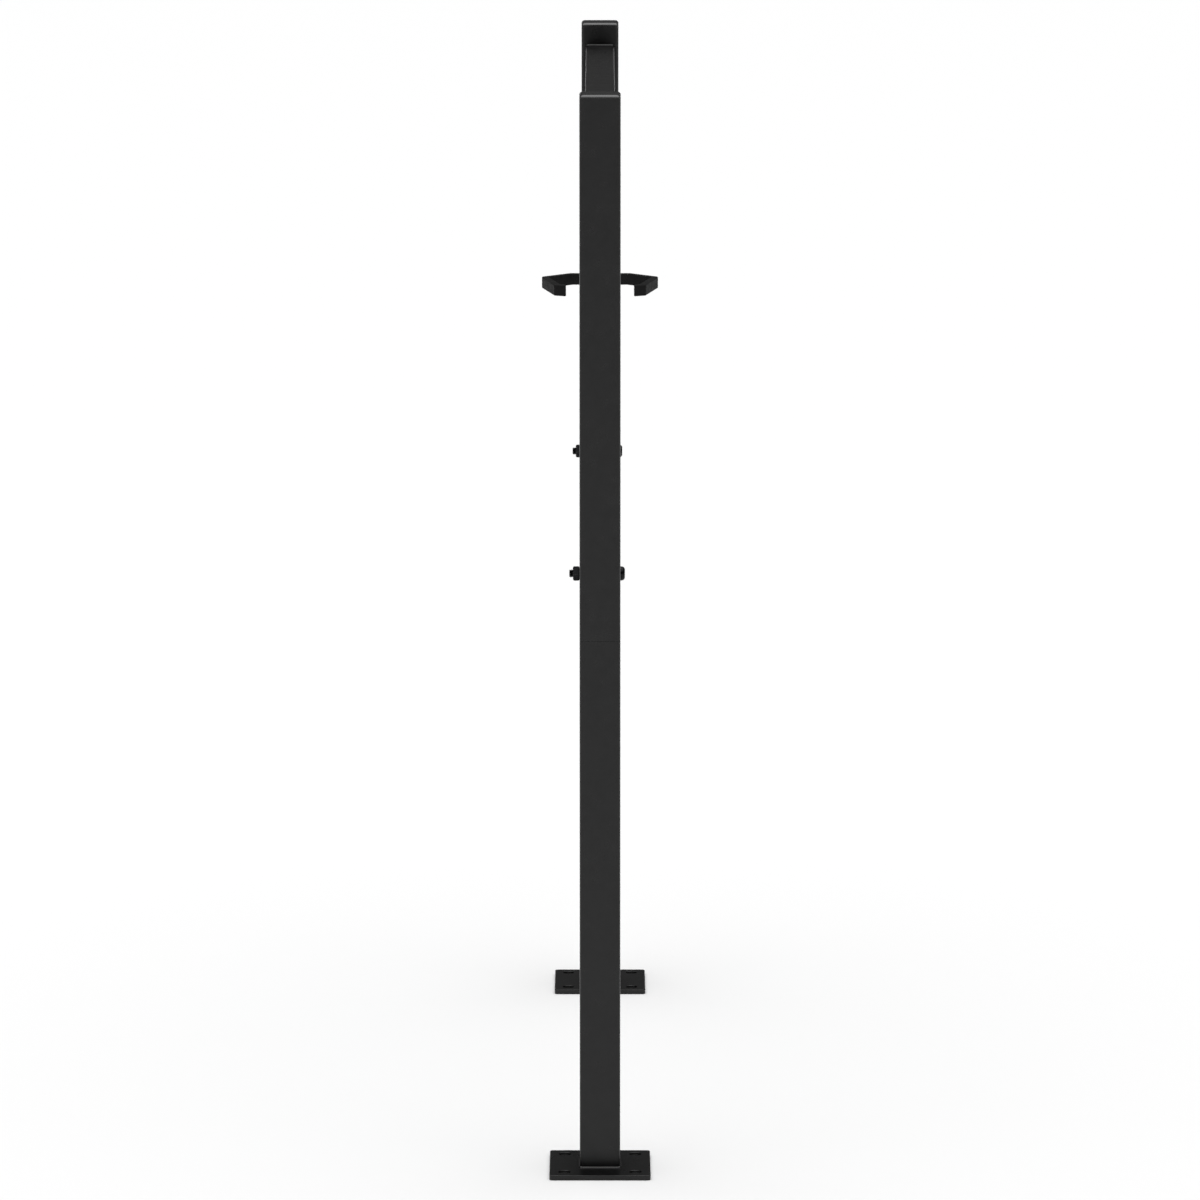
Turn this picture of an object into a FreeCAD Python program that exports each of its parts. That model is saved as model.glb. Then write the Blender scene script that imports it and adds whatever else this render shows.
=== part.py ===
import FreeCAD, Part
import os
import Sketcher

# A bolt-down handrail for a pool edge: two square posts joined by one top rail.
# X runs across the rail, Y along it and Z up. The origin is on the ground, midway between the posts.
# Each post is two tubes that meet at half height over an inner connector, with one cross bolt.
# Every sub-part is modelled on its own Z axis and then placed.

Vector = FreeCAD.Vector
Rotation = FreeCAD.Rotation

UPRIGHT = Rotation()
ALONG_RAIL = Rotation(Vector(1, 0, 0), -90)      # the piece's +Z points to +Y
FACING_FRONT = Rotation(Vector(1, 0, 0), 90)     # the piece's +Z points to -Y
ACROSS_POST = Rotation(Vector(0, 1, 0), 90)      # the piece's +Z points to +X

ENDS = (("front", "-"), ("rear", "+"))

DRIVING_SIZES = (
    ("overall_height", 1070),
    ("post_spacing", 800),
    ("post_side", 40),
    ("post_wall", 2),
    ("post_corner", 3),
    ("seam_height", 535),
    ("plate_side", 100),
    ("plate_thick", 5),
    ("plate_corner", 3),
    ("anchor_spacing", 70),
    ("anchor_hole", 12),
    ("foot_weld_leg", 1.5),
    ("weld_slope", 42),
    ("cap_thick", 3),
    ("cap_bevel", 2.2),
    ("cap_plug_gap", 0.8),
    ("cap_plug_wall", 1.8),
    ("cap_plug_depth", 15),
    ("cap_fin_gap", 0.3),
    ("cap_fin_thick", 1),
    ("cap_fin_pitch", 4),
    ("connector_gap", 0.2),
    ("connector_wall", 2),
    ("connector_length", 160),
    ("connector_rise", 90),
    ("bolt_height", 599),
    ("bolt_diameter", 8),
    ("bolt_length", 50),
    ("bolt_hole", 8.5),
    ("bolt_head_diameter", 14),
    ("bolt_head_thick", 4.4),
    ("bolt_socket_flats", 5),
    ("bolt_socket_depth", 2.6),
    ("nut_flats", 13),
    ("nut_thick", 6.5),
    ("nut_chamfer", 0.6),
    ("thread_gap", 0.1),
    ("rail_side", 30),
    ("rail_wall", 1.5),
    ("rail_corner", 2.5),
    ("rail_drop", 24),
    ("rail_weld_leg", 1.2),
    ("cradle_base", 786),
    ("cradle_band", 12),
    ("cradle_wall", 8),
    ("cradle_back_half", 33),
    ("cradle_side_half", 62.8),
    ("cradle_side_start", 30),
    ("cradle_side_end", 37),
    ("cradle_nose_half", 49.3),
    ("cradle_nose", 101),
    ("cradle_lip_half", 36.5),
    ("cradle_reach", 108),
    ("screw_spacing", 20),
    ("screw_diameter", 5),
    ("screw_length", 16),
    ("screw_hole", 5.5),
    ("screw_head_diameter", 9.5),
    ("screw_head_thick", 2.8),
    ("screw_socket_flats", 3),
    ("screw_socket_depth", 1.5),
    ("rivet_nut_diameter", 7),
    ("rivet_nut_length", 12),
    ("rivet_nut_flange", 10),
    ("rivet_nut_flange_thick", 0.8),
    ("rivet_nut_bulge", 9.2),
    ("rivet_nut_bulge_length", 3),
)

doc = FreeCAD.newDocument("pool_handrail")


# ---------------------------------------------------------------- sheet and formulas

def make_sheet():
    """Writes every driving size to one spreadsheet, each under an alias."""
    sheet = doc.addObject("Spreadsheet::Sheet", "Sizes")
    for row, (name, value) in enumerate(DRIVING_SIZES, start=1):
        sheet.set("A%d" % row, name)
        sheet.set("B%d" % row, str(value))
        sheet.setAlias("B%d" % row, name)
    doc.recompute()
    return sheet


sheet = make_sheet()
ALIASES = {name for name, value in DRIVING_SIZES}


def formula(words):
    """Points each alias in a spaced-out formula at the spreadsheet."""
    return " ".join("Sizes." + word if word in ALIASES else word for word in str(words).split())


def value_of(words):
    """The present value of a formula, in millimetres."""
    return float(sheet.evalExpression(formula(words)))


def bind(item, **formulas):
    for name, words in formulas.items():
        item.setExpression(name, formula(words))


def place(item, rotation=UPRIGHT, x="0", y="0", z="0"):
    """Turns a piece and binds its position to the sheet."""
    item.Placement = FreeCAD.Placement(Vector(value_of(x), value_of(y), value_of(z)), rotation)
    for axis, words in zip("xyz", (x, y, z)):
        item.setExpression("Placement.Base." + axis, formula(words))


# ---------------------------------------------------------------- sketches

def new_body(label):
    body = doc.addObject("PartDesign::Body", label)
    body.Label = label
    return body


def new_sketch(body, plane, lift="0"):
    """A sketch on one of the body's own origin planes, raised along the plane's normal."""
    sketch = body.newObject("Sketcher::SketchObject", "Outline")
    support = next(item for item in body.Origin.OriginFeatures if item.Role == plane)
    sketch.AttachmentSupport = (support, [""])
    sketch.MapMode = "FlatFace"
    sketch.setExpression("AttachmentOffset.Base.z", formula(lift))
    return sketch


def pin_point(sketch, geometry, point, x, y):
    """Ties a sketch point to the sketch's origin by two formulas."""
    for kind, words in (("DistanceX", x), ("DistanceY", y)):
        index = sketch.addConstraint(Sketcher.Constraint(kind, -1, 1, geometry, point, value_of(words)))
        sketch.setExpression("Constraints[%d]" % index, formula(words))


def add_outline(sketch, corners):
    """A closed outline of straight edges through corners, each corner a pair of formulas."""
    points = [Vector(value_of(x), value_of(y), 0) for x, y in corners]
    first = sketch.GeometryCount
    for start, end in zip(points, points[1:] + points[:1]):
        sketch.addGeometry(Part.LineSegment(start, end))
    for number, (x, y) in enumerate(corners):
        before = first + (number - 1) % len(corners)
        sketch.addConstraint(Sketcher.Constraint("Coincident", before, 2, first + number, 1))
        pin_point(sketch, first + number, 1, x, y)


def add_square(sketch, side):
    half = "( %s ) / 2" % side
    low = "0 - " + half
    add_outline(sketch, [(low, low), (half, low), (half, half), (low, half)])


def add_hexagon(sketch, flats):
    """A hexagon with two of its flats square to the sketch's X axis."""
    radius = "( %s ) / sqrt(3)" % flats
    add_outline(sketch, [("%s * cos( %d )" % (radius, angle), "%s * sin( %d )" % (radius, angle))
                         for angle in range(30, 390, 60)])


def add_circle(sketch, x, y, diameter):
    centre = Vector(value_of(x), value_of(y), 0)
    circle = sketch.addGeometry(Part.Circle(centre, Vector(0, 0, 1), value_of(diameter) / 2))
    pin_point(sketch, circle, 3, x, y)
    index = sketch.addConstraint(Sketcher.Constraint("Diameter", circle, value_of(diameter)))
    sketch.setExpression("Constraints[%d]" % index, formula(diameter))


# ---------------------------------------------------------------- features

def pad(body, sketch, length, slope=None, downward=False):
    feature = body.newObject("PartDesign::Pad", "Pad")
    feature.Profile = sketch
    feature.Reversed = downward
    bind(feature, Length=length)
    if slope:
        feature.setExpression("TaperAngle", "0 - " + formula(slope))
    return feature


def pocket_through(body, sketch, side="Symmetric", backward=False):
    feature = body.newObject("PartDesign::Pocket", "Pocket")
    feature.Profile = sketch
    feature.Type = "ThroughAll"
    feature.SideType = side
    feature.Reversed = backward
    return feature


def pocket_down(body, sketch, depth):
    feature = body.newObject("PartDesign::Pocket", "Pocket")
    feature.Profile = sketch
    bind(feature, Length=depth)
    return feature


def spin(body, sketch, kind):
    """A Revolution or Groove of the sketch about the piece's Z axis."""
    feature = body.newObject("PartDesign::" + kind, kind)
    feature.Profile = sketch
    feature.ReferenceAxis = (sketch, ["V_Axis"])
    feature.Angle = 360
    return feature


def dress_edges(body, kind, wanted, **sizes):
    """A Fillet or Chamfer on the edges of the piece so far for which wanted(edge) is true."""
    doc.recompute()
    last = body.Tip
    names = ["Edge%d" % number for number, edge in enumerate(last.Shape.Edges, start=1) if wanted(edge)]
    feature = body.newObject("PartDesign::" + kind, kind)
    feature.Base = (last, names)
    bind(feature, **sizes)
    return feature


def round_edges(body, radius, wanted):
    return dress_edges(body, "Fillet", wanted, Radius=radius)


def upright_at(side):
    """Picks the edges that run up the corners of a square of the given side."""
    half = value_of(side) / 2

    def wanted(edge):
        ends = edge.Vertexes
        return (len(ends) == 2 and abs(ends[0].Z - ends[1].Z) > 0.1
                and all(abs(abs(end.X) - half) < 0.01 and abs(abs(end.Y) - half) < 0.01 for end in ends))
    return wanted


def level_at(height):
    """Picks the edges that lie wholly at one height."""
    level = value_of(height)
    return lambda edge: all(abs(end.Z - level) < 0.01 for end in edge.Vertexes)


# ---------------------------------------------------------------- tubes and plates

def square_tube(label, side, wall, corner, length):
    """A drawn square tube that stands on its own origin."""
    body = new_body(label)
    section = new_sketch(body, "XY_Plane")
    bore = "%s - 2 * %s" % (side, wall)
    add_square(section, side)
    add_square(section, bore)
    pad(body, section, length)
    round_edges(body, corner, upright_at(side))
    round_edges(body, "%s - %s" % (corner, wall), upright_at(bore))
    return body


def drill_across(body, height, diameter):
    """A hole along X through both side walls."""
    section = new_sketch(body, "YZ_Plane")
    add_circle(section, "0", height, diameter)
    pocket_through(body, section)


def make_lower_post(end, sign):
    body = square_tube(end + "_lower_post", "post_side", "post_wall", "post_corner",
                       "seam_height - plate_thick")
    place(body, y=sign + " post_spacing / 2", z="plate_thick")
    return body


def make_upper_post(end, sign):
    body = square_tube(end + "_upper_post", "post_side", "post_wall", "post_corner",
                       "overall_height - cap_thick - seam_height")
    drill_across(body, "bolt_height - seam_height", "bolt_hole")
    if end == "rear":
        section = new_sketch(body, "XZ_Plane")
        height = "cradle_base + cradle_band / 2 - seam_height"
        for side in ("-", "+"):
            add_circle(section, side + " screw_spacing / 2", height, "rivet_nut_diameter + thread_gap")
        pocket_through(body, section, side="One side", backward=True)
    place(body, y=sign + " post_spacing / 2", z="seam_height")
    return body


def make_connector(end, sign):
    """The inner tube that lines up the two halves of a post."""
    side = "post_side - 2 * post_wall - 2 * connector_gap"
    body = square_tube(end + "_post_connector", side, "connector_wall", "post_corner",
                       "connector_length")
    drill_across(body, "bolt_height - seam_height + connector_length - connector_rise", "bolt_hole")
    place(body, y=sign + " post_spacing / 2", z="seam_height + connector_rise - connector_length")
    return body


def make_top_rail():
    body = square_tube("top_rail", "rail_side", "rail_wall", "rail_corner",
                       "post_spacing - post_side")
    place(body, ALONG_RAIL, y="0 - ( post_spacing - post_side ) / 2",
          z="overall_height - rail_drop - rail_side / 2")
    return body


def make_base_plate(end, sign):
    body = new_body(end + "_base_plate")
    outline = new_sketch(body, "XY_Plane")
    add_square(outline, "plate_side")
    pad(body, outline, "plate_thick")
    round_edges(body, "plate_corner", upright_at("plate_side"))
    hole = new_sketch(body, "XY_Plane")
    add_circle(hole, "anchor_spacing / 2", "anchor_spacing / 2", "anchor_hole")
    first = pocket_through(body, hole)
    pattern = body.newObject("PartDesign::PolarPattern", "Anchor_holes")
    pattern.Originals = [first]
    pattern.Axis = (hole, ["N_Axis"])
    pattern.Angle = 360
    pattern.Occurrences = 4
    body.Tip = pattern
    place(body, y=sign + " post_spacing / 2")
    return body


# ---------------------------------------------------------------- welds

def fillet_weld(label, side, corner, leg):
    """A sloped bead round a square tube's end, on its own origin and rising along Z."""
    body = new_body(label)
    foot = new_sketch(body, "XY_Plane")
    add_square(foot, "%s + 2 * %s" % (side, leg))
    pad(body, foot, leg, slope="weld_slope")
    inside = new_sketch(body, "XY_Plane")
    add_square(inside, side)
    pocket_through(body, inside)
    round_edges(body, corner, upright_at(side))
    return body


def make_foot_weld(end, sign):
    body = fillet_weld(end + "_foot_weld", "post_side", "post_corner", "foot_weld_leg")
    place(body, y=sign + " post_spacing / 2", z="plate_thick")
    return body


def make_rail_weld(end, sign):
    body = fillet_weld(end + "_rail_weld", "rail_side", "rail_corner", "rail_weld_leg")
    turn = ALONG_RAIL if end == "front" else FACING_FRONT
    place(body, turn, y=sign + " ( post_spacing - post_side ) / 2",
          z="overall_height - rail_drop - rail_side / 2")
    return body


# ---------------------------------------------------------------- caps

def make_post_cap(end, sign):
    """A bevelled cap whose finned plug grips the inside of the post."""
    body = new_body(end + "_post_cap")
    flange = new_sketch(body, "XY_Plane")
    add_square(flange, "post_side")
    pad(body, flange, "cap_thick")
    round_edges(body, "post_corner", upright_at("post_side"))
    dress_edges(body, "Chamfer", level_at("cap_thick"), Size="cap_bevel")
    bore = "post_side - 2 * post_wall"
    plug_side = bore + " - 2 * cap_plug_gap"
    plug = new_sketch(body, "XY_Plane")
    add_square(plug, plug_side)
    add_square(plug, plug_side + " - 2 * cap_plug_wall")
    pad(body, plug, "cap_plug_depth", downward=True)
    for number in (1, 2, 3):
        fin = new_sketch(body, "XY_Plane", "0 - %d * cap_fin_pitch" % number)
        add_square(fin, bore + " - 2 * cap_fin_gap")
        add_square(fin, plug_side + " - cap_plug_wall")
        pad(body, fin, "cap_fin_thick")
    place(body, y=sign + " post_spacing / 2", z="overall_height - cap_thick")
    return body


# ---------------------------------------------------------------- fasteners

def button_screw(label, diameter, length, head, thick, flats, depth):
    """A button-head socket screw: its head sits above its origin and its shank hangs below."""
    body = new_body(label)
    profile = new_sketch(body, "XZ_Plane")
    shank = diameter + " / 2"
    tip = "0 - " + length
    add_outline(profile, [("0", tip), (shank + " - 0.8", tip), (shank, tip + " + 0.8"), (shank, "0"),
                          (head + " / 2", "0"), (head + " / 2", thick), ("0", thick)])
    spin(body, profile, "Revolution")
    round_edges(body, thick + " * 0.7", level_at(thick))
    socket = new_sketch(body, "XY_Plane", thick)
    add_hexagon(socket, flats)
    pocket_down(body, socket, depth)
    return body


def make_cross_bolt(end, sign):
    body = button_screw(end + "_cross_bolt", "bolt_diameter", "bolt_length", "bolt_head_diameter",
                        "bolt_head_thick", "bolt_socket_flats", "bolt_socket_depth")
    place(body, ACROSS_POST, x="post_side / 2", y=sign + " post_spacing / 2", z="bolt_height")
    return body


def make_cross_nut(end, sign):
    """A hexagon nut with both ends chamfered, hanging below its origin."""
    body = new_body(end + "_cross_nut")
    hexagon = new_sketch(body, "XY_Plane")
    add_hexagon(hexagon, "nut_flats")
    add_circle(hexagon, "0", "0", "bolt_diameter + thread_gap")
    pad(body, hexagon, "nut_thick", downward=True)
    chamfers = new_sketch(body, "XZ_Plane")
    inner = "nut_flats / 2 - 0.1"
    outer = "nut_flats / 2 + 2"
    for level, slope in (("0", "-"), ("0 - nut_thick", "+")):
        add_outline(chamfers, [(inner, level), (outer, level),
                               (outer, "%s %s 2 * nut_chamfer" % (level, slope))])
    spin(body, chamfers, "Groove")
    place(body, ACROSS_POST, x="0 - post_side / 2", y=sign + " post_spacing / 2", z="bolt_height")
    return body


def make_rivet_nut(label):
    """A set rivet nut: flange above its origin, bulge and threaded sleeve below."""
    body = new_body(label)
    profile = new_sketch(body, "XZ_Plane")
    bore = "( screw_diameter + thread_gap ) / 2"
    sleeve = "rivet_nut_diameter / 2"
    bulge_top = "0 - post_wall"
    bulge_end = "0 - post_wall - rivet_nut_bulge_length"
    tip = "0 - rivet_nut_length"
    add_outline(profile, [(bore, "rivet_nut_flange_thick"),
                          ("rivet_nut_flange / 2", "rivet_nut_flange_thick"),
                          ("rivet_nut_flange / 2", "0"), (sleeve, "0"), (sleeve, bulge_top),
                          ("rivet_nut_bulge / 2", bulge_top), ("rivet_nut_bulge / 2", bulge_end),
                          (sleeve, bulge_end), (sleeve, tip), (bore, tip)])
    spin(body, profile, "Revolution")
    return body


def pair_across(body, label):
    """The piece and its mirror image across the YZ plane, as one group of two solids."""
    twin = doc.addObject("Part::Mirroring", label + "_twin")
    twin.Source = body
    twin.Normal = Vector(1, 0, 0)
    pair = doc.addObject("Part::Compound", label)
    pair.Links = [body, twin]
    pair.Label = label
    return pair


def make_cradle_fasteners():
    face = "( post_spacing - post_side ) / 2"
    height = "cradle_base + cradle_band / 2"
    nut = make_rivet_nut("rivet_nut")
    place(nut, FACING_FRONT, x="screw_spacing / 2", y=face, z=height)
    screw = button_screw("screw", "screw_diameter", "screw_length", "screw_head_diameter",
                         "screw_head_thick", "screw_socket_flats", "screw_socket_depth")
    place(screw, FACING_FRONT, x="screw_spacing / 2", z=height,
          y=face + " - rivet_nut_flange_thick - cradle_wall")
    return [pair_across(nut, "cradle_rivet_nuts"), pair_across(screw, "cradle_screws")]


# ---------------------------------------------------------------- pole cradle

def make_pole_cradle():
    """A ring of flat walls in plan, with its back wall on the post and a mouth cut in its front."""
    plan = doc.addObject("Sketcher::SketchObject", "Cradle_outline")
    right = [("cradle_back_half", "0"), ("cradle_side_half", "0 - cradle_side_start"),
             ("cradle_side_half", "0 - cradle_side_end"), ("cradle_nose_half", "0 - cradle_nose"),
             ("cradle_lip_half", "0 - cradle_reach")]
    left = [("0 - " + x, y) for x, y in reversed(right)]
    add_outline(plan, left + right)
    band = doc.addObject("Part::Offset2D", "Cradle_band")
    band.Source = plan
    band.Join = "Intersection"
    band.Fill = True
    bind(band, Value="0 - cradle_wall")
    ring = doc.addObject("Part::Extrusion", "Cradle_ring")
    ring.Base = band
    ring.Dir = Vector(0, 0, 1)
    ring.Solid = True
    bind(ring, LengthFwd="cradle_band")
    mouth = doc.addObject("Part::Box", "Cradle_mouth")
    bind(mouth, Length="2 * cradle_lip_half", Width="3 * cradle_wall", Height="cradle_band")
    place(mouth, x="0 - cradle_lip_half", y="0 - cradle_reach - cradle_wall")
    hole = doc.addObject("Part::Cylinder", "Screw_hole")
    bind(hole, Radius="screw_hole / 2", Height="2 * cradle_wall")
    place(hole, FACING_FRONT, x="screw_spacing / 2", y="cradle_wall / 2", z="cradle_band / 2")
    openings = doc.addObject("Part::Compound", "Cradle_openings")
    openings.Links = [mouth, pair_across(hole, "Screw_holes")]
    cradle = doc.addObject("Part::Cut", "pole_cradle")
    cradle.Base = ring
    cradle.Tool = openings
    cradle.Label = "pole_cradle"
    place(cradle, y="( post_spacing - post_side ) / 2 - rivet_nut_flange_thick", z="cradle_base")
    return cradle


# ---------------------------------------------------------------- assembly and export

def make_end(end, sign):
    """Everything that each end of the handrail has."""
    return [maker(end, sign) for maker in (make_base_plate, make_foot_weld, make_lower_post,
                                           make_connector, make_upper_post, make_cross_bolt,
                                           make_cross_nut, make_post_cap, make_rail_weld)]


def check_document():
    """Stops if any object failed to recompute."""
    for item in doc.Objects:
        if "Invalid" in item.State or "Error" in item.State:
            raise RuntimeError("%s did not recompute: %s" % (item.Label, item.State))


def export(pieces):
    os.makedirs("parts", exist_ok=True)
    for piece in pieces:
        shape = piece.Shape
        if shape.isNull() or not shape.isValid() or not shape.Solids:
            raise RuntimeError(piece.Label + " has no valid solid")
    for piece in pieces:
        piece.Shape.exportStep("parts/%s.step" % piece.Label)
        print("%-24s %9.1f mm3, %d solid(s)" % (piece.Label, piece.Shape.Volume, len(piece.Shape.Solids)))


pieces = [piece for end, sign in ENDS for piece in make_end(end, sign)]
pieces += [make_top_rail(), make_pole_cradle()]
pieces += make_cradle_fasteners()
doc.recompute()
check_document()
export(pieces)
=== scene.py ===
"""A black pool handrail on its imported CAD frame.

Detailed tubes, plates, welds, caps, fasteners and a cradle replace the outside CAD nodes. The post
connectors and the rivet nuts stay, with better materials. Everything rides on the root body, as
nothing moves.
"""

import math
import random

import bmesh
import bpy
from mathutils import Matrix, Vector
from mathutils.geometry import tessellate_polygon


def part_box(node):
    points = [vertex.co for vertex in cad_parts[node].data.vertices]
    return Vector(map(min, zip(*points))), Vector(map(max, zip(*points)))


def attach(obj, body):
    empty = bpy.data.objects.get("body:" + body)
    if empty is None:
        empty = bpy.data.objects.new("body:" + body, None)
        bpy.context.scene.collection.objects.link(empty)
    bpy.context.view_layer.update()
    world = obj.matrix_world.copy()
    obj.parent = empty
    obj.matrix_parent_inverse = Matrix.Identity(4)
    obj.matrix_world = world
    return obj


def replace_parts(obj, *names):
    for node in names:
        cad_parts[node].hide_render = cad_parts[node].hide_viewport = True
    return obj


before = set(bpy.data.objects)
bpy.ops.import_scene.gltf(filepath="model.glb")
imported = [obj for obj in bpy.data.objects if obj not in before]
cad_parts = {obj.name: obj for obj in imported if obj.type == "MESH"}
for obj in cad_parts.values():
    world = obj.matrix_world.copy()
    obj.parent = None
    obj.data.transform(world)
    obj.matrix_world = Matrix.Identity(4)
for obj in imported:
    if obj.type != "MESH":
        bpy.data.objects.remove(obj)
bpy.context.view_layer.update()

MM = 0.001
HALF_TURN = math.pi
QUARTER_TURN = math.pi / 2
ENDS = ("front", "rear")

POST_SIDE, POST_WALL, POST_CORNER = 40 * MM, 2 * MM, 3 * MM
RAIL_SIDE, RAIL_WALL, RAIL_CORNER = 30 * MM, 1.5 * MM, 2.5 * MM
BOLT_HOLE = 8.5 * MM
RIVET_NUT_HOLE = 7.1 * MM
SCREW_HOLE = 5.5 * MM
SCREW_REACH = 10 * MM       # from the middle of the cradle to each of its two screws


# ---------------------------------------------------------------- materials

def new_material(name):
    """A material with one Principled shader, with its node tree and shader."""
    material = bpy.data.materials.new(name)
    material.use_nodes = True
    tree = material.node_tree
    return material, tree, tree.nodes["Principled BSDF"]


def add_node(tree, kind, **settings):
    """A new node, with each setting given to its property or input of that name."""
    node = tree.nodes.new(kind)
    for name, value in settings.items():
        if hasattr(node, name):
            setattr(node, name, value)
        else:
            node.inputs[name].default_value = value
    return node


def add_noise(tree, scale, detail=2.0, roughness=0.5):
    """A noise texture over the object's own metres: scale is features per metre."""
    place = add_node(tree, "ShaderNodeTexCoord")
    noise = add_node(tree, "ShaderNodeTexNoise")
    noise.inputs["Scale"].default_value = scale
    noise.inputs["Detail"].default_value = detail
    noise.inputs["Roughness"].default_value = roughness
    tree.links.new(place.outputs["Object"], noise.inputs["Vector"])
    return noise.outputs["Fac"]


def remap(tree, value, low, high, to_low, to_high):
    """The value, with low to high stretched over to_low to to_high and clamped to it."""
    node = add_node(tree, "ShaderNodeMapRange")
    limits = (("From Min", low), ("From Max", high), ("To Min", to_low), ("To Max", to_high))
    for name, number in limits:
        node.inputs[name].default_value = number
    tree.links.new(value, node.inputs["Value"])
    return node.outputs["Result"]


def mottle(tree, scale, detail):
    """Soft clouds from 0 to 1."""
    return remap(tree, add_noise(tree, scale, detail), 0.35, 0.65, 0.0, 1.0)


def vary_roughness(tree, shader, scale, detail, low, high):
    roughness = remap(tree, add_noise(tree, scale, detail), 0.3, 0.7, low, high)
    tree.links.new(roughness, shader.inputs["Roughness"])


def scaled(colour, factor):
    return tuple(factor * part for part in colour)


def mix_colours(tree, factor, first, second):
    """Two colours, each a tuple or a socket, mixed by a factor socket."""
    node = tree.nodes.new("ShaderNodeMix")
    node.data_type = "RGBA"
    tree.links.new(factor, node.inputs["Factor"])
    for socket, colour in ((node.inputs["A"], first), (node.inputs["B"], second)):
        if isinstance(colour, bpy.types.NodeSocket):
            tree.links.new(colour, socket)
        else:
            socket.default_value = (*colour, 1)
    return node.outputs["Result"]


def edge_mask(tree, radius):
    """1 on edges and corners, 0 on open surface, from how far a rounded normal leans."""
    flat, leaning = 1.0, 0.86
    bevel = add_node(tree, "ShaderNodeBevel", samples=4)
    bevel.inputs["Radius"].default_value = radius
    surface = tree.nodes.new("ShaderNodeNewGeometry")
    dot = add_node(tree, "ShaderNodeVectorMath", operation="DOT_PRODUCT")
    tree.links.new(bevel.outputs["Normal"], dot.inputs[0])
    tree.links.new(surface.outputs["Normal"], dot.inputs[1])
    return remap(tree, dot.outputs["Value"], flat, leaning, 0.0, 1.0)


def add_bumps(tree, shader, layers):
    """Stacks bump maps: each layer is a height socket, a strength and a height in metres."""
    normal = None
    for height, strength, distance in layers:
        bump = tree.nodes.new("ShaderNodeBump")
        bump.inputs["Strength"].default_value = strength
        bump.inputs["Distance"].default_value = distance
        tree.links.new(height, bump.inputs["Height"])
        if normal:
            tree.links.new(normal, bump.inputs["Normal"])
        normal = bump.outputs["Normal"]
    tree.links.new(normal, shader.inputs["Normal"])


def powder_coat():
    """Satin black powder coat: orange peel, a fine grain, slight mottling and rubbed edges."""
    deep, pale, worn = (0.0020, 0.0020, 0.0021), (0.0034, 0.0034, 0.0035), (0.016, 0.016, 0.017)
    material, tree, shader = new_material("powder_coat")
    base = mix_colours(tree, mottle(tree, 35, 4), deep, pale)
    rubbed = remap(tree, add_noise(tree, 260, 3), 0.50, 0.72, 0.0, 0.45)
    wear = add_node(tree, "ShaderNodeMath", operation="MULTIPLY")
    tree.links.new(edge_mask(tree, 0.7 * MM), wear.inputs[0])
    tree.links.new(rubbed, wear.inputs[1])
    colour = mix_colours(tree, wear.outputs["Value"], base, worn)
    tree.links.new(colour, shader.inputs["Base Color"])
    vary_roughness(tree, shader, 90, 3, low=0.27, high=0.34)
    shader.inputs["Specular IOR Level"].default_value = 0.395
    orange_peel = (add_noise(tree, 520, 1), 0.20, 0.10 * MM)
    grain = (add_noise(tree, 2600, 2), 0.18, 0.04 * MM)
    add_bumps(tree, shader, [orange_peel, grain])
    return material


def moulded_plastic(name, colour, grain, roughness, gloss):
    """Moulded black plastic with scuffed edges; the grain is in features per metre."""
    material, tree, shader = new_material(name)
    base = mix_colours(tree, mottle(tree, 60, 3), colour, scaled(colour, 1.35))
    scuffed = mix_colours(tree, edge_mask(tree, 0.5 * MM), base, scaled(colour, 2.4))
    tree.links.new(scuffed, shader.inputs["Base Color"])
    vary_roughness(tree, shader, 180, 2, roughness - 0.05, roughness + 0.06)
    shader.inputs["Specular IOR Level"].default_value = gloss
    fine = (add_noise(tree, grain, 2), 0.30, 0.06 * MM)
    coarse = (add_noise(tree, grain / 6, 1), 0.10, 0.08 * MM)
    add_bumps(tree, shader, [fine, coarse])
    return material


def plated_steel(name, colour, bright, roughness):
    """Plated or primed steel: cloudy colour, bright rubbed edges and a very fine grain."""
    material, tree, shader = new_material(name)
    base = mix_colours(tree, mottle(tree, 300, 4), colour, scaled(colour, 1.5))
    rubbed = remap(tree, edge_mask(tree, 0.4 * MM), 0.2, 1.0, 0.0, 0.5)
    worn = mix_colours(tree, rubbed, base, bright)
    tree.links.new(worn, shader.inputs["Base Color"])
    shader.inputs["Metallic"].default_value = 1.0
    vary_roughness(tree, shader, 900, 2, roughness - 0.06, roughness + 0.08)
    grain = (add_noise(tree, 4200, 2), 0.15, 0.03 * MM)
    add_bumps(tree, shader, [grain])
    return material


MATERIALS = {
    "frame_steel": powder_coat(),
    "cap_plastic": moulded_plastic(
        "cap_plastic", (0.0040, 0.0040, 0.0041), grain=3600, roughness=0.26, gloss=0.75),
    "cradle_plastic": moulded_plastic(
        "cradle_plastic", (0.0095, 0.0095, 0.0096), grain=2400, roughness=0.66, gloss=0.10),
    "fastener_steel": plated_steel(
        "black_zinc", (0.013, 0.013, 0.014), bright=(0.09, 0.09, 0.095), roughness=0.34),
    "connector_steel": plated_steel(
        "dark_primer", (0.05, 0.05, 0.052), bright=(0.12, 0.12, 0.12), roughness=0.55),
    "rivet_steel": plated_steel(
        "bright_zinc", (0.42, 0.42, 0.40), bright=(0.70, 0.70, 0.68), roughness=0.30),
}


# ---------------------------------------------------------------- outlines

def square(side):
    half = side / 2
    return [(-half, -half), (half, -half), (half, half), (-half, half)]


def circle(radius, steps, centre):
    x, y = centre
    turns = (2 * HALF_TURN * number / steps for number in range(steps))
    return [(x + radius * math.cos(turn), y + radius * math.sin(turn)) for turn in turns]


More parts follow.
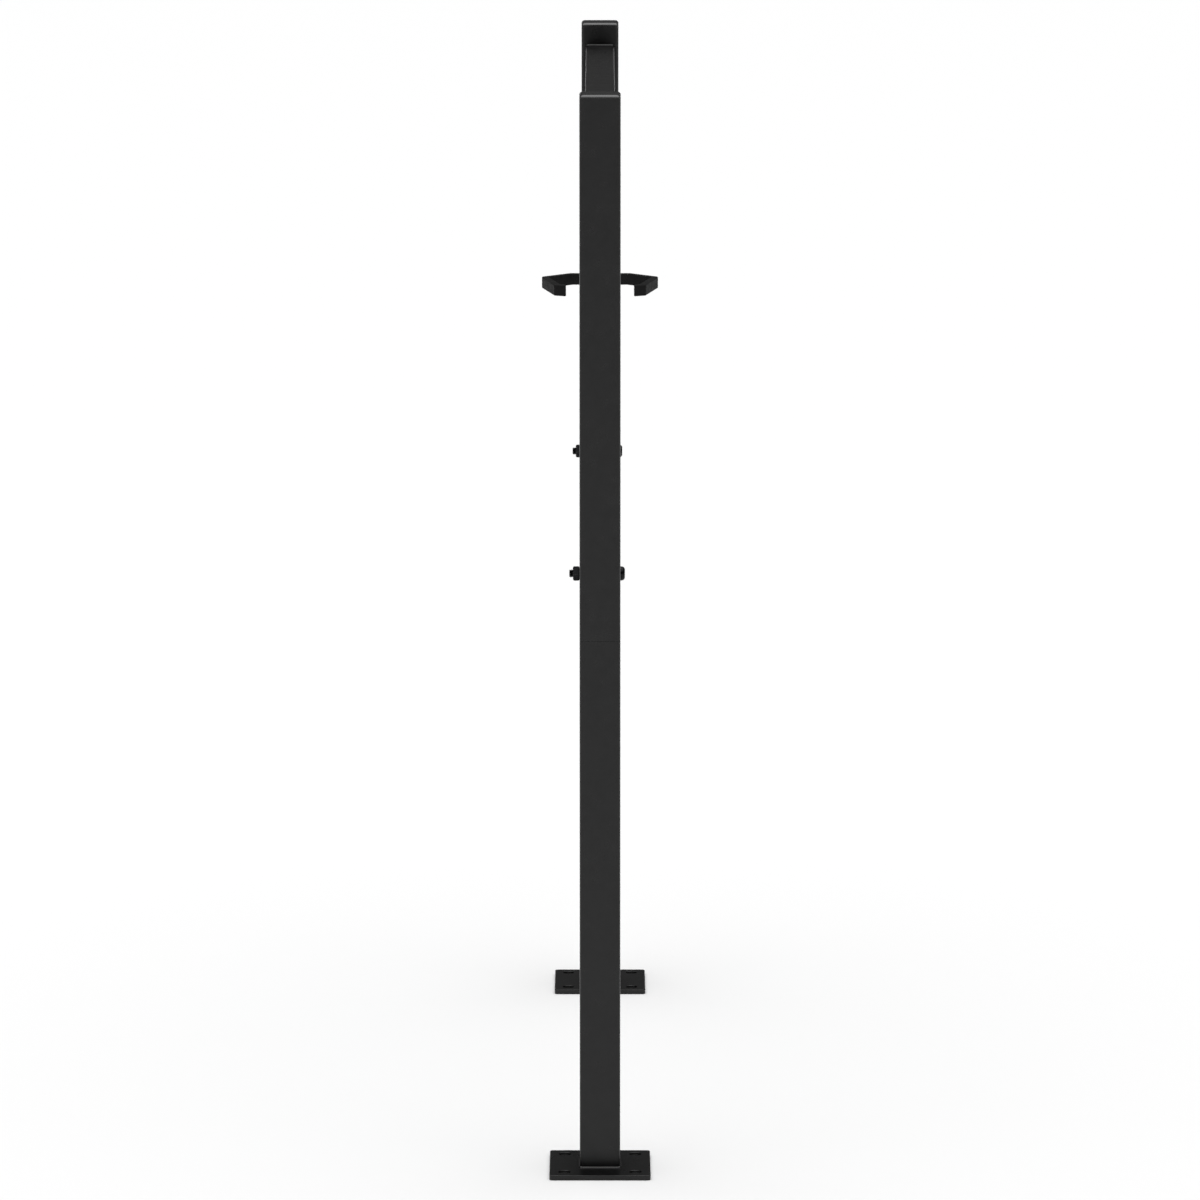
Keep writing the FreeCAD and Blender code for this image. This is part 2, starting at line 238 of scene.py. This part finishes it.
def rounded(corners, radius, steps=8):
    """The closed outline with every corner turned on an arc."""
    outline = []
    for number, corner in enumerate(corners):
        here = Vector(corner)
        before = (Vector(corners[number - 1]) - here).normalized()
        after = (Vector(corners[(number + 1) % len(corners)]) - here).normalized()
        half_angle = before.angle(after) / 2
        centre = here + (before + after).normalized() * radius / math.sin(half_angle)
        start = here + before * radius / math.tan(half_angle) - centre
        sweep = start.angle_signed(here + after * radius / math.tan(half_angle) - centre)
        for step in range(steps + 1):
            turn = Matrix.Rotation(-sweep * step / steps, 2)
            outline.append(tuple(centre + turn @ start))
    return outline


def inset(outline, amount):
    """A counter-clockwise outline moved inwards, or outwards for a negative amount."""
    moved = []
    for number, point in enumerate(outline):
        here = Vector(point)
        along = (here - Vector(outline[number - 1])).normalized()
        onward = (Vector(outline[(number + 1) % len(outline)]) - here).normalized()
        inward = Vector((-along.y - onward.y, along.x + onward.x)).normalized()
        mitre = inward.dot(Vector((-along.y, along.x)))
        moved.append(tuple(here + inward * amount / mitre))
    return moved


# ---------------------------------------------------------------- meshes

def new_object(name, points, faces):
    """A linked mesh object whose faces all point outwards."""
    same_point = 0.0001 * MM
    mesh = bpy.data.meshes.new(name)
    mesh.from_pydata(points, [], faces)
    work = bmesh.new()
    work.from_mesh(mesh)
    bmesh.ops.remove_doubles(work, verts=work.verts, dist=same_point)
    bmesh.ops.recalc_face_normals(work, faces=work.faces)
    work.to_mesh(mesh)
    work.free()
    thing = bpy.data.objects.new(name, mesh)
    bpy.context.scene.collection.objects.link(thing)
    return thing


def drill(piece, drills):
    """Takes the drills, a list of points and faces, out of a piece's mesh."""
    tool = new_object("drills", *merge(*drills))
    holes = piece.modifiers.new("holes", "BOOLEAN")
    holes.object = tool
    depsgraph = bpy.context.evaluated_depsgraph_get()
    piece.data = bpy.data.meshes.new_from_object(piece.evaluated_get(depsgraph))
    piece.modifiers.remove(holes)
    bpy.data.objects.remove(tool)


def make_piece(name, points, faces, slot, sharp_above=32, drills=()):
    """A mesh piece on the root body, smooth except at edges sharper than so many degrees."""
    piece = new_object(name, points, faces)
    if drills:
        drill(piece, drills)
    mesh = piece.data
    mesh.polygons.foreach_set("use_smooth", [True] * len(mesh.polygons))
    mesh.set_sharp_from_angle(angle=math.radians(sharp_above))
    mesh.materials.append(MATERIALS[slot])
    shading = piece.modifiers.new("flat_faces", "WEIGHTED_NORMAL")
    shading.keep_sharp = True
    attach(piece, "root")
    return piece


def put(piece, spot, turn=Matrix.Identity(3)):
    """Moves a piece's own mesh, so that its texture space is the row frame."""
    piece.data.transform(Matrix.Translation(Vector(spot)) @ turn.to_4x4())
    return piece


def join_rings(rings, closed=False):
    """Quads between successive rings of equal length, as index lists."""
    pairs = list(zip(rings, rings[1:]))
    if closed:
        pairs.append((rings[-1], rings[0]))
    faces = []
    for lower, upper in pairs:
        for number in range(len(lower)):
            after = (number + 1) % len(lower)
            faces.append((lower[number], lower[after], upper[after], upper[number]))
    return faces


def slab_mesh(outline, thickness, edge, holes=(), steps=5):
    """Points and faces of the outline, less its holes, drawn up along Z with rounded rims."""
    quarter = [QUARTER_TURN * step / steps for step in range(steps + 1)]
    rim = [(edge * (1 - math.sin(turn)), edge * (1 - math.cos(turn))) for turn in quarter]
    levels = rim + [(back, thickness - height) for back, height in reversed(rim)]
    points, faces, lids = [], [], ([], [])
    for loop, side in [(outline, 1)] + [(hole, -1) for hole in holes]:
        rings = []
        for back, height in levels:
            first = len(points)
            points += [(x, y, height) for x, y in inset(loop, side * back)]
            rings.append(range(first, len(points)))
        faces += join_rings(rings)
        lids[0].append(rings[0])
        lids[1].append(rings[-1])
    for lid in lids:
        flat = [number for ring in lid for number in ring]
        loops = [[Vector(points[number]) for number in ring] for ring in lid]
        faces += [tuple(flat[corner] for corner in face) for face in tessellate_polygon(loops)]
    return points, faces


def merge(*meshes):
    """Several point and face lists as one."""
    points, faces = [], []
    for more_points, more_faces in meshes:
        first = len(points)
        points += more_points
        faces += [tuple(first + number for number in face) for face in more_faces]
    return points, faces


def lift(mesh, height):
    """The mesh moved up by the height."""
    points, faces = mesh
    return [(x, y, z + height) for x, y, z in points], faces


def turned_mesh(rings, steps=48, closed=False):
    """A solid about Z: each ring is a radius, or a radius for each angle, and a height."""
    points, loops = [], []
    for radius, height in rings:
        first = len(points)
        for step in range(steps):
            angle = 2 * HALF_TURN * step / steps
            reach = radius(angle) if callable(radius) else radius
            points.append((reach * math.cos(angle), reach * math.sin(angle), height))
        loops.append(list(range(first, len(points))))
    faces = join_rings(loops, closed)
    if not closed:
        faces += [tuple(loops[0]), tuple(loops[-1])]
    return points, faces


def drill_mesh(diameter, length, start, turn):
    """A plain rod from its start, along the turned Z axis."""
    points, faces = turned_mesh([(diameter / 2, 0), (diameter / 2, length)])
    return [tuple(Vector(start) + turn @ Vector(point)) for point in points], faces


def hexagon(flats):
    """The reach of a hexagon at each angle."""
    sixth = HALF_TURN / 3
    return lambda angle: flats / 2 / math.cos((angle + sixth / 2) % sixth - sixth / 2)


# ---------------------------------------------------------------- tubes and plates

def add_tube(name, node, side, wall, corner, length, turn=Matrix.Identity(3), drills=()):
    """A square tube with softly broken end edges, in place of a CAD tube of the same size."""
    broken_edge = 0.35 * MM
    skin = rounded(square(side), corner, 10)
    bore = rounded(square(side - 2 * wall), corner - wall, 5)
    mesh = slab_mesh(skin, length, broken_edge, [bore], steps=4)
    piece = make_piece(name, *mesh, "frame_steel", drills=drills)
    low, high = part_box(node)
    middle = (low + high) / 2
    put(piece, middle - turn @ Vector((0, 0, length / 2)), turn)
    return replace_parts(piece, node)


def upper_tube_drills(end, foot, side):
    """Rods for the cross bolt's hole through both walls, and for the rear post's rivet nuts."""
    low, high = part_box(end + "_cross_bolt")
    height = (low.z + high.z) / 2 - foot
    across = Matrix.Rotation(QUARTER_TURN, 3, "Y")
    drills = [drill_mesh(BOLT_HOLE, 1.5 * side, (-0.75 * side, 0, height), across)]
    if end == "rear":
        low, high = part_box("cradle_rivet_nuts")
        height = (low.z + high.z) / 2 - foot
        inward = Matrix.Rotation(-QUARTER_TURN, 3, "X")
        start = -side / 2 - MM
        past_wall = POST_WALL + 2 * MM
        drills += [drill_mesh(RIVET_NUT_HOLE, past_wall, (x, start, height), inward)
                   for x in (-SCREW_REACH, SCREW_REACH)]
    return drills


def add_post_tubes(end):
    for half in ("lower", "upper"):
        node = "%s_%s_post" % (end, half)
        low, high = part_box(node)
        side, length = high.x - low.x, high.z - low.z
        drills = upper_tube_drills(end, low.z, side) if half == "upper" else ()
        name = "%s_tube_%s" % (half, end)
        add_tube(name, node, side, POST_WALL, POST_CORNER, length, drills=drills)


def add_rail_tube():
    low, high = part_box("top_rail")
    side, length = high.x - low.x, high.y - low.y
    along = Matrix.Rotation(-QUARTER_TURN, 3, "X")
    add_tube("rail_tube", "top_rail", side, RAIL_WALL, RAIL_CORNER, length, along)


def add_base_plate(end):
    """A square plate with four anchor holes, its corners and rims softened by the coating."""
    node = end + "_base_plate"
    low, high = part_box(node)
    reach, hole_radius = 35 * MM, 6 * MM
    corner, rim = 3 * MM, 0.7 * MM
    holes = [circle(hole_radius, 48, (x, y)) for x in (-reach, reach) for y in (-reach, reach)]
    mesh = slab_mesh(rounded(square(high.x - low.x), corner), high.z - low.z, rim, holes)
    piece = make_piece("plate_" + end, *mesh, "frame_steel")
    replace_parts(put(piece, (0, (low.y + high.y) / 2, low.z)), node)


# ---------------------------------------------------------------- welds

BEAD_SPACING = 0.3 * MM     # the most between the sections that make a bead
BEAD_BURIED = 0.3 * MM      # how far a bead sinks into both of its parts
BEAD_SHARP_ABOVE = 60       # degrees


def bead_mesh(outline, leg, seed):
    """A fillet weld round an outline: overlapping ripples on a bead that varies a little."""
    rng = random.Random(seed)
    waves = [(rng.randint(2, 9), rng.uniform(0, 2 * HALF_TURN)) for _ in range(4)]
    pitch, steps = 2.3 * MM, 9
    lengths = [0.0]
    loop = [Vector(point) for point in outline]
    for here, after in zip(loop, loop[1:] + loop[:1]):
        lengths.append(lengths[-1] + (after - here).length)
    around = lengths[-1]
    ripples = round(around / pitch)
    points, rings = [], []
    for number, (here, out) in enumerate(zip(outline, inset(outline, -MM))):
        share = lengths[number] / around
        away = (Vector(out) - Vector(here)).normalized()
        wander = sum(math.sin(count * 2 * HALF_TURN * share + start) for count, start in waves)
        size = leg * (0.93 + 0.015 * wander)
        first = len(points)
        for step in range(steps):
            turn = QUARTER_TURN * step / (steps - 1)
            belly = 1 - (2 * step / (steps - 1) - 1) ** 2
            chord = math.sqrt(0.5) / math.cos(turn - QUARTER_TURN / 2)
            scallop = abs(math.sin(HALF_TURN * (ripples * share + 0.55 * belly)))
            reach = size * (chord + 0.16 * belly) * (1 - 0.10 * belly * (1 - scallop))
            spot = Vector(here) + away * reach * math.sin(turn)
            points.append((spot.x, spot.y, reach * math.cos(turn)))
        buried = Vector(here) - away * BEAD_BURIED
        points.append((buried.x, buried.y, -BEAD_BURIED))
        rings.append(list(range(first, len(points))))
    return points, join_rings(rings, closed=True)


def dense(outline, spacing):
    """The outline with points added so that none are further apart than the spacing."""
    finer = []
    for here, after in zip(outline, outline[1:] + outline[:1]):
        start, end = Vector(here), Vector(after)
        count = max(1, math.ceil((end - start).length / spacing))
        finer += [tuple(start.lerp(end, part / count)) for part in range(count)]
    return finer


def add_foot_bead(end, seed):
    node = end + "_foot_weld"
    low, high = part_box(node)
    outline = dense(rounded(square(POST_SIDE), POST_CORNER, 14), BEAD_SPACING)
    mesh = bead_mesh(outline, high.z - low.z, seed)
    piece = make_piece("foot_bead_" + end, *mesh, "frame_steel", BEAD_SHARP_ABOVE)
    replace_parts(put(piece, (0, (low.y + high.y) / 2, low.z)), node)


def add_rail_bead(end, seed):
    node = end + "_rail_weld"
    low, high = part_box(node)
    outline = dense(rounded(square(RAIL_SIDE), RAIL_CORNER, 12), BEAD_SPACING)
    mesh = bead_mesh(outline, high.y - low.y, seed)
    piece = make_piece("rail_bead_" + end, *mesh, "frame_steel", BEAD_SHARP_ABOVE)
    sign, face = (-1, low.y) if end == "front" else (1, high.y)
    turn = Matrix.Rotation(sign * QUARTER_TURN, 3, "X")
    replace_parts(put(piece, (0, face, (low.z + high.z) / 2), turn), node)


# ---------------------------------------------------------------- caps

def soft_bevel(size, steps=10, power=1.3):
    """Steps back and up along a bevel whose ends ease into the faces that it joins."""
    turns = (QUARTER_TURN * step / steps for step in range(steps + 1))
    share = 2 / power
    return [(size * (1 - math.cos(turn) ** share), size * math.sin(turn) ** share)
            for turn in turns]


def cap_top_mesh(side, corner, thick, bevel, crown):
    """A square lid with a bevelled edge and a slightly crowned top."""
    soft_lower_edge = [(0.4 * MM, 0), (0.12 * MM, 0.1 * MM), (0, 0.35 * MM)]
    upper_edge = [(back, thick - crown - bevel + height) for back, height in soft_bevel(bevel)]
    levels = soft_lower_edge + upper_edge
    reach = side / 2
    crown_shares = (0.25, 0.4, 0.55, 0.7, 0.85, 0.97)
    for share in crown_shares:
        back = share * reach
        slope = (back - bevel) / (reach - bevel)
        levels.append((back, thick - crown * (1 - slope) ** 2))
    points, rings = [], []
    least_corner = 0.2 * MM
    for back, height in levels:
        turn_radius = max(corner * (1 - back / reach), least_corner)
        turned = rounded(square(side - 2 * back), turn_radius, 8)
        first = len(points)
        points += [(x, y, height) for x, y in turned]
        rings.append(list(range(first, len(points))))
    return points, join_rings(rings) + [tuple(rings[0]), tuple(rings[-1])]


def add_cap(end):
    """A post cap: crowned lid, and a finned plug down inside the tube."""
    node = end + "_post_cap"
    low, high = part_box(node)
    thick, bevel, crown = 3 * MM, 2.2 * MM, 0.15 * MM
    outer_corner, inner_corner = 1.5 * MM, 1 * MM
    plug_side, plug_bore, plug_length = 34.4 * MM, 30.8 * MM, 15 * MM
    fin_side, fin_bore, fin_thick, fin_spacing = 35.4 * MM, 32.6 * MM, 1 * MM, 4 * MM
    lid = cap_top_mesh(high.x - low.x, POST_CORNER, thick, bevel, crown)
    plug = slab_mesh(rounded(square(plug_side), outer_corner), plug_length, 0.5 * MM,
                     [rounded(square(plug_bore), inner_corner)])
    fin = slab_mesh(rounded(square(fin_side), outer_corner), fin_thick, 0.2 * MM,
                    [rounded(square(fin_bore), inner_corner)], steps=3)
    parts = [lid, lift(plug, -plug_length)]
    parts += [lift(fin, -fin_spacing * number) for number in (1, 2, 3)]
    piece = make_piece("cap_" + end, *merge(*parts), "cap_plastic")
    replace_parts(put(piece, (0, (low.y + high.y) / 2, high.z - thick)), node)


# ---------------------------------------------------------------- fasteners

def thread_reach(height, crest, pitch, end, chamfer):
    """The reach of a screw thread at each angle, for one height, with a chamfered end."""
    root = crest - 0.55 * pitch
    cone = crest - chamfer + (height - end)

    def reach(angle):
        phase = (height / pitch - angle / (2 * HALF_TURN)) % 1
        tooth = min(1, max(0, 1.3 * abs(2 * phase - 1) - 0.15))
        return min(root + (crest - root) * tooth, cone)
    return reach


def screw_mesh(diameter, length, pitch, thread, head, thick, flats, depth):
    """A button-head socket screw: head above its origin, threaded shank below."""
    crest = diameter / 2
    end_chamfer, head_fillet, soft_edge = 0.9 * MM, 0.4 * MM, 0.25 * MM
    steps = round(thread / (pitch / 8))
    rings = []
    for step in range(steps + 1):
        height = -length + thread * step / steps
        rings.append((thread_reach(height, crest, pitch, -length, end_chamfer), height))
    rings += [(crest, -length + thread + head_fillet), (crest, -head_fillet)]
    rings += [(crest + head_fillet, 0)]
    rim, flat_top, dome_steps = 0.22 * thick, 0.56 * head / 2, 12
    rings += [(head / 2 - soft_edge, 0), (head / 2, soft_edge), (head / 2, rim)]
    for step in range(1, dome_steps + 1):
        turn = QUARTER_TURN * step / dome_steps
        reach = flat_top + (head / 2 - flat_top) * math.cos(turn)
        rings.append((reach, rim + (thick - rim) * math.sin(turn)))
    socket = hexagon(flats)
    floor, drill_point = thick - depth, thick - depth - 0.15 * flats
    rings += [(lambda angle: socket(angle) + soft_edge, thick), (socket, thick - 0.2 * MM),
              (socket, floor), (lambda angle: 0.05 * socket(angle), drill_point)]
    return turned_mesh(rings)


def nut_mesh(flats, thick, bore):
    """A hexagon nut, chamfered at both ends, with a countersunk bore."""
    hexed = hexagon(flats)
    face = 0.9 * flats / 2
    slope = math.tan(math.radians(60))
    spacing = 0.12 * MM
    near = [spacing * step for step in range(10)]
    rings = []
    for height in near + [thick - step for step in reversed(near)]:
        cone = face + min(height, thick - height) * slope
        rings.append((lambda angle, cone=cone: min(hexed(angle), cone), height))
    sink = 0.4 * MM
    rings += [(bore + sink, thick), (bore, thick - sink), (bore, sink), (bore + sink, 0)]
    return turned_mesh(rings, closed=True)


def add_cross_fasteners(end):
    """One M8 bolt across the post, its head on +X and its nut on -X."""
    low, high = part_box(end + "_cross_bolt")
    across = Matrix.Rotation(QUARTER_TURN, 3, "Y")
    post_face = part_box(end + "_upper_post")[1].x
    spot = Vector((post_face, (low.y + high.y) / 2, (low.z + high.z) / 2))
    bolt = screw_mesh(8 * MM, post_face - low.x, pitch=1.25 * MM, thread=22 * MM, head=14 * MM,
                      thick=high.x - post_face, flats=5 * MM, depth=2.6 * MM)
    bolt_piece = make_piece("bolt_" + end, *bolt, "fastener_steel", 40)
    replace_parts(put(bolt_piece, spot, across), end + "_cross_bolt")
    nut_low, nut_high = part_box(end + "_cross_nut")
    nut = nut_mesh(13 * MM, nut_high.x - nut_low.x, bore=4.05 * MM)
    spot.x = nut_low.x
    nut_piece = make_piece("nut_" + end, *nut, "fastener_steel", 25)
    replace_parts(put(nut_piece, spot, across), end + "_cross_nut")


def add_cradle_screws():
    """The two M5 screws that hold the cradle."""
    low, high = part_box("cradle_screws")
    thick = 2.8 * MM
    points, faces = screw_mesh(5 * MM, high.y - low.y - thick, pitch=0.8 * MM, thread=12 * MM,
                               head=9.5 * MM, thick=thick, flats=3 * MM, depth=1.5 * MM)
    pair = merge(*[([(x + side * SCREW_REACH, y, z) for x, y, z in points], faces)
                   for side in (-1, 1)])
    piece = make_piece("cradle_screw_pair", *pair, "fastener_steel", 40)
    facing = Matrix.Rotation(QUARTER_TURN, 3, "X")
    put(piece, (0, low.y + thick, (low.z + high.z) / 2), facing)
    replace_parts(piece, "cradle_screws")


# ---------------------------------------------------------------- cradle

def add_cradle():
    """The open ring that a pole leans in: flat walls with eased corners and rounded rims."""
    low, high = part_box("pole_cradle")
    wall, corner, rim = 8 * MM, 1.2 * MM, 1.1 * MM
    mouth, front = 36.5 * MM, low.y - high.y
    nose = (49.3 * MM, -101 * MM)
    widest = [(high.x, -37 * MM), (high.x, -30 * MM)]
    back = (33 * MM, 0)
    half = [(mouth, front), nose, *widest, back]
    outer = half + [(-x, y) for x, y in reversed(half)]
    inner = inset(outer, wall)
    for lip, behind, side in ((0, 1, 1), (-1, -2, -1)):
        near, far = Vector(inner[lip]), Vector(inner[behind])
        inner[lip] = tuple(near.lerp(far, (side * mouth - near.x) / (far.x - near.x)))
    band = high.z - low.z
    mesh = slab_mesh(rounded(outer + inner[::-1], corner, 5), band, rim)
    facing = Matrix.Rotation(QUARTER_TURN, 3, "X")
    drills = [drill_mesh(SCREW_HOLE, 1.5 * wall, (x, wall / 4, band / 2), facing)
              for x in (-SCREW_REACH, SCREW_REACH)]
    piece = make_piece("cradle_ring", *mesh, "cradle_plastic", drills=drills)
    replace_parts(put(piece, (0, high.y, low.z)), "pole_cradle")


# ---------------------------------------------------------------- stage

def add_floor():
    """A pale matt floor, too wide for its edges to show."""
    mesh = bpy.data.meshes.new("floor")
    width = 120
    mesh.from_pydata([(x, y, 0) for x, y in square(width)], [], [(0, 1, 2, 3)])
    floor = bpy.data.objects.new("floor", mesh)
    bpy.context.scene.collection.objects.link(floor)
    material, tree, shader = new_material("pale_floor")
    shader.inputs["Base Color"].default_value = (0.86, 0.86, 0.86, 1)
    shader.inputs["Roughness"].default_value = 0.9
    shader.inputs["Specular IOR Level"].default_value = 0.1
    mesh.materials.append(material)


def add_world():
    """A studio with a wide soft light overhead and dim walls, which the camera sees as white."""
    wall_height, light_height = 0.62, 0.95
    wall_strength, light_strength = 0.07, 3.05
    world = bpy.data.worlds.new("studio")
    bpy.context.scene.world = world
    world.use_nodes = True
    tree = world.node_tree
    sky = tree.nodes["Background"]
    direction = tree.nodes.new("ShaderNodeTexCoord")
    parts = tree.nodes.new("ShaderNodeSeparateXYZ")
    tree.links.new(direction.outputs["Generated"], parts.inputs["Vector"])
    sky.inputs["Color"].default_value = (1, 1, 1, 1)
    light = remap(tree, parts.outputs["Z"], wall_height, light_height,
                  wall_strength, light_strength)
    path = tree.nodes.new("ShaderNodeLightPath")
    seen = add_node(tree, "ShaderNodeMath", operation="MAXIMUM")
    tree.links.new(light, seen.inputs[0])
    tree.links.new(path.outputs["Is Camera Ray"], seen.inputs[1])
    tree.links.new(seen.outputs["Value"], sky.inputs["Strength"])


def add_camera():
    """A long lens in line with the rail, at head height and tilted down at the posts."""
    distance, height, tilt = 6.856, 1.698, math.radians(9.888)
    data = bpy.data.cameras.new("camera")
    data.lens = 200.78
    data.clip_end = 200
    camera = bpy.data.objects.new("camera", data)
    bpy.context.scene.collection.objects.link(camera)
    camera.location = (0, -distance, height)
    camera.rotation_euler = (QUARTER_TURN - tilt, 0, 0)
    bpy.context.scene.camera = camera


FOOT_BEAD_SEED, RAIL_BEAD_SEED = 11, 21
INSIDE_NODES = {
    "front_post_connector": "connector_steel",
    "rear_post_connector": "connector_steel",
    "cradle_rivet_nuts": "rivet_steel",
}

for number, end in enumerate(ENDS):
    add_base_plate(end)
    add_foot_bead(end, FOOT_BEAD_SEED + number)
    add_post_tubes(end)
    add_rail_bead(end, RAIL_BEAD_SEED + number)
    add_cap(end)
    add_cross_fasteners(end)
add_rail_tube()
add_cradle()
add_cradle_screws()
for node, slot in INSIDE_NODES.items():
    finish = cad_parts[node].data.materials
    finish.clear()
    finish.append(MATERIALS[slot])

add_floor()
add_world()
add_camera()
bpy.context.scene.view_settings.view_transform = "Standard"
